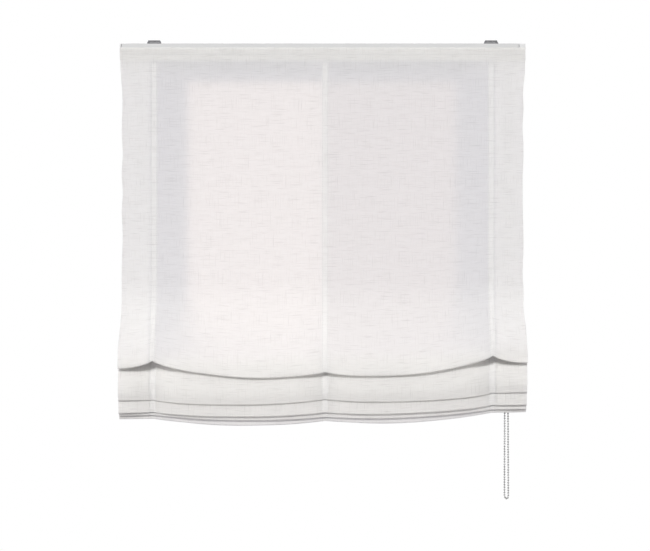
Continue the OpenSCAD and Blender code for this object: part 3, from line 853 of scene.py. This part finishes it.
def sheer_linen():
    """White slub linen."""
    material, cloth = thin_cloth("sheer_linen", threads=1100.0, slub=1.0, dark=(0.72, 0.71, 0.695),
                                 light=(1.0, 0.992, 0.978), bump=0.35, share=0.5)
    cloth.inputs["Roughness"].default_value = 0.9
    cloth.inputs["Specular IOR Level"].default_value = 0.15
    cloth.inputs["Sheen Weight"].default_value = 0.05
    cloth.inputs["Sheen Roughness"].default_value = 0.6
    return material


def woven_tape():
    """Denser and more even than the linen."""
    material, cloth = thin_cloth("woven_tape", threads=1700.0, slub=0.25, dark=(0.84, 0.84, 0.845),
                                 light=(0.96, 0.96, 0.965), bump=0.5, share=0.36)
    cloth.inputs["Roughness"].default_value = 0.85
    cloth.inputs["Specular IOR Level"].default_value = 0.2
    return material


def strip_pile():
    """Hook and loop pile: dense short fibres."""
    material, tree, cloth = new_finish("strip_pile")
    grain = effect_node(tree, GRAIN, object_vector(tree), Grain_size=1500.0)
    tree.links.new(toned(tree, grain.outputs["Grain"], (0.64, 0.64, 0.64), (0.82, 0.82, 0.82)),
                   cloth.inputs["Base Color"])
    tree.links.new(bumped(tree, grain.outputs["Grain"], strength=0.8, distance=0.0008),
                   cloth.inputs["Normal"])
    cloth.inputs["Roughness"].default_value = 0.95
    return material


def braided_cord(name, vector, axis_along, rate_along, axis_round, rate_round):
    """Fine diagonal braid on a round cord, from the axes that run along and round it."""
    material, tree, cloth = new_finish(name)
    split = tree.nodes.new("ShaderNodeSeparateXYZ")
    tree.links.new(vector(tree), split.inputs["Vector"])
    along = math_node(tree, "MULTIPLY", split.outputs[axis_along], rate_along)
    round_it = math_node(tree, "MULTIPLY", split.outputs[axis_round], rate_round)
    one = math_node(tree, "SINE", math_node(tree, "ADD", along, round_it))
    two = math_node(tree, "SINE", math_node(tree, "SUBTRACT", along, round_it))
    braid = ranged(tree, math_node(tree, "MULTIPLY", one, two), -1.0, 1.0)
    tree.links.new(toned(tree, braid, (0.60, 0.60, 0.60), (0.88, 0.88, 0.87)), cloth.inputs["Base Color"])
    tree.links.new(bumped(tree, braid, strength=0.5, distance=0.0003), cloth.inputs["Normal"])
    cloth.inputs["Roughness"].default_value = 0.7
    return material


def moulded_plastic(name, dark, light, roughness, grain_size):
    """Plastic or waxed thread with a fine grain and a slightly uneven shine."""
    material, tree, body = new_finish(name)
    grain = effect_node(tree, GRAIN, object_vector(tree), Grain_size=grain_size)
    tree.links.new(toned(tree, grain.outputs["Cloud"], dark, light), body.inputs["Base Color"])
    tree.links.new(bumped(tree, grain.outputs["Grain"], strength=0.12, distance=0.0003),
                   body.inputs["Normal"])
    tree.links.new(ranged(tree, grain.outputs["Cloud"], 0.2, 0.8, roughness - 0.08, roughness + 0.08),
                   body.inputs["Roughness"])
    return material


def coated_rail():
    """White powder coat on aluminium, with a fine orange-peel surface."""
    material, tree, body = new_finish("coated_rail")
    grain = effect_node(tree, GRAIN, object_vector(tree), Grain_size=520.0)
    tree.links.new(toned(tree, grain.outputs["Cloud"], (0.56, 0.56, 0.56), (0.63, 0.63, 0.625)),
                   body.inputs["Base Color"])
    tree.links.new(bumped(tree, grain.outputs["Grain"], strength=0.18, distance=0.0004),
                   body.inputs["Normal"])
    tree.links.new(ranged(tree, grain.outputs["Grain"], 0.2, 0.8, 0.36, 0.5), body.inputs["Roughness"])
    return material


def drawn_metal(name, dark, light, rough_low, rough_high):
    """Metal with fine lines along its length and faint smudges."""
    material, tree, body = new_finish(name)
    brush = effect_node(tree, BRUSH, object_vector(tree))
    tree.links.new(toned(tree, brush.outputs["Smudge"], dark, light), body.inputs["Base Color"])
    tree.links.new(ranged(tree, brush.outputs["Lines"], 0.25, 0.75, rough_low, rough_high),
                   body.inputs["Roughness"])
    tree.links.new(bumped(tree, brush.outputs["Lines"], strength=0.1, distance=0.0002),
                   body.inputs["Normal"])
    body.inputs["Metallic"].default_value = 1.0
    return material


LINEN = sheer_linen()
TAPE = woven_tape()
PILE = strip_pile()
CORD = braided_cord("braided_cord", uv_vector, axis_along="Y", rate_along=2400.0,
                    axis_round="X", rate_round=4 * math.pi)
WOUND = braided_cord("wound_cord", object_vector, axis_along="X", rate_along=4400.0,
                     axis_round="Z", rate_round=900.0)
PLASTIC = moulded_plastic("white_plastic", (0.64, 0.64, 0.635), (0.72, 0.72, 0.715), 0.42, 1500.0)
CLEAR = moulded_plastic("ring_plastic", (0.68, 0.68, 0.675), (0.76, 0.76, 0.755), 0.22, 2600.0)
RAIL = coated_rail()
# Steel kept near black: partly the clips' own dark metal, partly painted shade that stands in for the shadow
# under the ceiling clips' plates.
SHADE_DARKENED_STEEL = drawn_metal("spring_steel", (0.05, 0.05, 0.06), (0.10, 0.10, 0.115), 0.2, 0.36)
ALUMINIUM = drawn_metal("bar_aluminium", (0.62, 0.62, 0.62), (0.74, 0.74, 0.74), 0.3, 0.48)
NICKEL = drawn_metal("nickel_chain", (0.26, 0.26, 0.26), (0.38, 0.38, 0.38), 0.22, 0.38)
# Thread greyer than the linen: partly the thread itself, partly painted shade that stands in for the shadow
# in the puckered seams.
SEAM_SHADE_THREAD = moulded_plastic("thread_with_painted_seam_shade", (0.78, 0.775, 0.77), (0.86, 0.855, 0.85), 0.8, 4000.0)


def dress_solids():
    """Finishes for the solids, white plastic where no other is named."""
    finishes = {
        "headrail": RAIL,
        "ceiling_clip_left": SHADE_DARKENED_STEEL, "ceiling_clip_right": SHADE_DARKENED_STEEL, "drive_shaft": SHADE_DARKENED_STEEL, "wrap_springs": SHADE_DARKENED_STEEL,
        "weight_bar": ALUMINIUM, "hook_strip": PILE, "loop_strip": PILE, "wound_cords": WOUND,
        "stack_rings": CLEAR, "cord_stops": CLEAR, "chain_connector": CLEAR,
    }
    for name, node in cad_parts.items():
        material = finishes.get(name, PLASTIC)
        node.data.materials.clear()
        node.data.materials.append(material)


# Pieces that take the place of solids, and the seams' stitches

def make_cloth():
    cloth, width, length = cloth_piece(LINEN)
    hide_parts("fabric")
    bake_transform(cloth)
    for name, x in zip(("left", "centre", "right"), TAPE_X):
        tape = tape_piece("sewn_tape_" + name, x, TAPE)
        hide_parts("tape_" + name)
        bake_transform(tape)
        cord = cord_piece("braided_cord_" + name, x, CORD)
        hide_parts("lift_cord_" + name)
        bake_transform(cord)
    make_stitches()


def make_stitches():
    """Seams of the tapes, the head hem and the bar's pocket."""
    lines = []
    seam = TAPE_W / 2 - SEAM_INSET
    for x in TAPE_X:
        for side in (-seam, seam):
            points, back, _, marks = cloth_surface(np.array([x + side]))
            lines.append((points - STITCH_LIFT * back)[marks["face"] + TAPE_START:marks["tail"], 0])
    columns = np.linspace(-HALF_W + SEAM_END, HALF_W - SEAM_END, SEAM_COLUMNS)
    points, back, _, marks = cloth_surface(columns)
    for drop in STRIP_SEAMS:
        row = marks["face"] + round(drop / PANEL_H * FACE_ROWS)
        lines.append((points - STITCH_LIFT * back)[row])
    lines.append((points + STITCH_LIFT * back)[marks["pocket"] - 1])
    tree, ids = stitch_tree()
    rows = lines_object("seam_stitches", lines)
    made_by(rows, tree, ids, {"Pitch": STITCH_PITCH * MM, "Length": STITCH_LENGTH * MM,
                              "Radius": STITCH_R * MM, "Material": SEAM_SHADE_THREAD})
    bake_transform(rows)
    return rows


def make_panel_rings():
    """The rings that are sewn to the tapes on the hanging panel."""
    points = []
    for x in TAPE_X:
        for drop in PANEL_RINGS:
            lean = PANEL_LEAN * (drop - SET_DOWN) / PANEL_H
            points.append((x, CORD_Y - lean, RAIL_TOP - drop))
    tree, ids = ring_tree()
    rings = lines_object("sewn_rings", [[p] for p in points])
    made_by(rings, tree, ids, {"Ring radius": RING_R * MM, "Wire radius": RING_WIRE * MM, "Material": CLEAR})
    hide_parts("panel_rings")
    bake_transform(rings)


def chain_points():
    """Centres of all balls: down the front run, round the bottom, up the back run and over the sprocket."""
    sprocket_r = BEAD_PITCH / (2 * math.sin(math.pi / POCKETS))
    turn_r = BEAD_PITCH / (2 * math.sin(math.pi / 2 / TURN_LINKS))
    low = AXIS_Z - CHAIN_RUN * BEAD_PITCH

    def end(side):
        return np.array((CHAIN_X - side * turn_r * math.sin(CHAIN_TWIST),
                         side * turn_r * math.cos(CHAIN_TWIST), low))

    def top(side):
        return np.array((CHAIN_X, side * sprocket_r, AXIS_Z))

    points = [mix(top(-1), end(-1), i / CHAIN_RUN) for i in range(CHAIN_RUN + 1)]
    for i in range(1, TURN_LINKS):
        a = math.pi * i / TURN_LINKS
        s = -turn_r * math.cos(a)
        points.append(np.array((CHAIN_X - s * math.sin(CHAIN_TWIST), s * math.cos(CHAIN_TWIST),
                                low - turn_r * math.sin(a))))
    points += [mix(end(1), top(1), i / CHAIN_RUN) for i in range(CHAIN_RUN + 1)]
    for i in range(1, POCKETS // 2):
        a = 2 * math.pi * i / POCKETS
        points.append(np.array((CHAIN_X, sprocket_r * math.cos(a), AXIS_Z + sprocket_r * math.sin(a))))
    return points


def make_chain():
    points = chain_points()
    tree, ids = chain_tree()
    chain = lines_object("ball_chain", [points], closed=True)
    made_by(chain, tree, ids, {"Ball radius": BEAD_D / 2 * MM, "Link radius": LINK_R * MM,
                               "Material": NICKEL})
    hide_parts("bead_chain")
    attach(chain, "head")


# Studio, in metres, with the camera's lens and sensor in millimetres

VIEW_FROM = (0.0056, -4.5, -0.551)
VIEW_LENS = 106.0
VIEW_SENSOR = 36.0
VIEW_END = 50.0
FLOOR_HALF = 6.0
FLOOR_Z = -2.15
FLOOR_TINT = (0.45, 0.45, 0.45)
WHITE = (1.0, 1.0, 1.0)
COOL = (0.88, 0.84, 1.0)
WARM = (1.0, 0.95, 0.88)
GLOW = (1.0, 0.80, 0.64)
LOW_GLOW = (1.0, 0.70, 0.48)
WORLD_BLEND = 0.25
FIELD_Y = -0.0095
FIELD_Z = -0.4165
FIELD_H = 0.637
SPOT_SOFTNESS = 0.5


def shown_apart(tree, lit, shown, out):
    """Shows one shader to the camera and to shiny surfaces, and lights the scene with another."""
    seen = tree.nodes.new("ShaderNodeLightPath")
    direct = math_node(tree, "MAXIMUM", seen.outputs["Is Camera Ray"], seen.outputs["Is Glossy Ray"])
    both = tree.nodes.new("ShaderNodeMixShader")
    tree.links.new(direct, both.inputs["Fac"])
    tree.links.new(lit, both.inputs[1])
    tree.links.new(shown, both.inputs[2])
    tree.links.new(both.outputs["Shader"], out.inputs["Surface"])


def plain_white(name, tint):
    """A pale surface that the camera and shiny metal see as white, and that takes light as itself."""
    material, tree, body = new_finish(name)
    body.inputs["Base Color"].default_value = (*tint, 1.0)
    body.inputs["Roughness"].default_value = 0.9
    glow = tree.nodes.new("ShaderNodeEmission")
    glow.inputs["Strength"].default_value = 1.0
    shown_apart(tree, body.outputs["BSDF"], glow.outputs["Emission"], tree.nodes["Material Output"])
    return material


def make_floor():
    mesh = bpy.data.meshes.new("floor")
    corners = [(-1, -1), (1, -1), (1, 1), (-1, 1)]
    mesh.from_pydata([(x * FLOOR_HALF, y * FLOOR_HALF, FLOOR_Z) for x, y in corners], [], [(0, 1, 2, 3)])
    mesh.materials.append(plain_white("pale_floor", FLOOR_TINT))
    floor = bpy.data.objects.new("floor", mesh)
    bpy.context.scene.collection.objects.link(floor)


def make_world(front, behind, tint):
    """Light from all round, a little brighter in front of the blind than behind, and white to the camera."""
    world = bpy.data.worlds.new("studio")
    world.use_nodes = True
    tree = world.node_tree
    place = tree.nodes.new("ShaderNodeTexCoord")
    split = tree.nodes.new("ShaderNodeSeparateXYZ")
    tree.links.new(place.outputs["Generated"], split.inputs["Vector"])
    light = tree.nodes["Background"]
    side = ranged(tree, split.outputs["Y"], -WORLD_BLEND, WORLD_BLEND)
    tree.links.new(toned(tree, side, WHITE, tint), light.inputs["Color"])
    level = ranged(tree, split.outputs["Y"], -WORLD_BLEND, WORLD_BLEND, front, behind)
    tree.links.new(level, light.inputs["Strength"])
    white = tree.nodes.new("ShaderNodeBackground")
    white.inputs["Strength"].default_value = 1.0
    white.inputs["Color"].default_value = (*WHITE, 1.0)
    shown_apart(tree, light.outputs["Background"], white.outputs["Background"], tree.nodes["World Output"])
    bpy.context.scene.world = world


def make_sun(name, up, left, spread, strength):
    """Even light from in front of the blind, from angles in degrees above it and to its left."""
    lamp = bpy.data.lights.new(name, "SUN")
    lamp.energy = strength
    lamp.angle = math.radians(spread)
    obj = bpy.data.objects.new(name, lamp)
    obj.rotation_euler = (math.radians(90 - up), 0.0, math.radians(-left))
    bpy.context.scene.collection.objects.link(obj)


def hang_lamp(lamp, place, target, power, colour):
    """Puts a lamp in the scene, turned to its target and not seen by the camera."""
    lamp.energy = power
    lamp.color = colour
    obj = bpy.data.objects.new(lamp.name, lamp)
    obj.location = place
    obj.rotation_euler = (Vector(target) - Vector(place)).to_track_quat("-Z", "Y").to_euler()
    obj.visible_camera = False
    bpy.context.scene.collection.objects.link(obj)


def make_field(name, x, width, power, colour):
    """A field of light close behind the panel, shining to the front."""
    lamp = bpy.data.lights.new(name, "AREA")
    lamp.shape = "RECTANGLE"
    lamp.size = width
    lamp.size_y = FIELD_H
    hang_lamp(lamp, (x, FIELD_Y, FIELD_Z), (x, FIELD_Y - 1.0, FIELD_Z), power, colour)


def make_spot(name, place, target, cone, power, colour):
    """A soft-edged pool of light."""
    lamp = bpy.data.lights.new(name, "SPOT")
    lamp.spot_size = math.radians(cone)
    lamp.spot_blend = 1.0
    lamp.shadow_soft_size = SPOT_SOFTNESS
    hang_lamp(lamp, place, target, power, colour)


def make_camera():
    data = bpy.data.cameras.new("photo_camera")
    data.sensor_width = VIEW_SENSOR
    data.lens = VIEW_LENS
    data.clip_end = VIEW_END
    camera = bpy.data.objects.new("photo_camera", data)
    camera.location = VIEW_FROM
    camera.rotation_euler = (math.radians(90), 0.0, 0.0)
    bpy.context.scene.collection.objects.link(camera)
    bpy.context.scene.camera = camera


bpy.context.scene.view_settings.view_transform = "Standard"
make_camera()
make_chain()
dress_solids()
make_cloth()
make_panel_rings()
make_floor()
make_world(front=0.52, behind=0.48, tint=COOL)
make_sun("key", up=30.0, left=15.0, spread=14.0, strength=2.25)
make_spot("low", place=(-1.0, -3.4, 0.9), target=(0.0, 0.0, -1.65), cone=30.0, power=170.0, colour=WARM)
make_field("behind_left", x=-0.1555, width=0.32, power=0.195, colour=GLOW)
make_field("behind_right", x=0.1585, width=0.308, power=0.09, colour=LOW_GLOW)
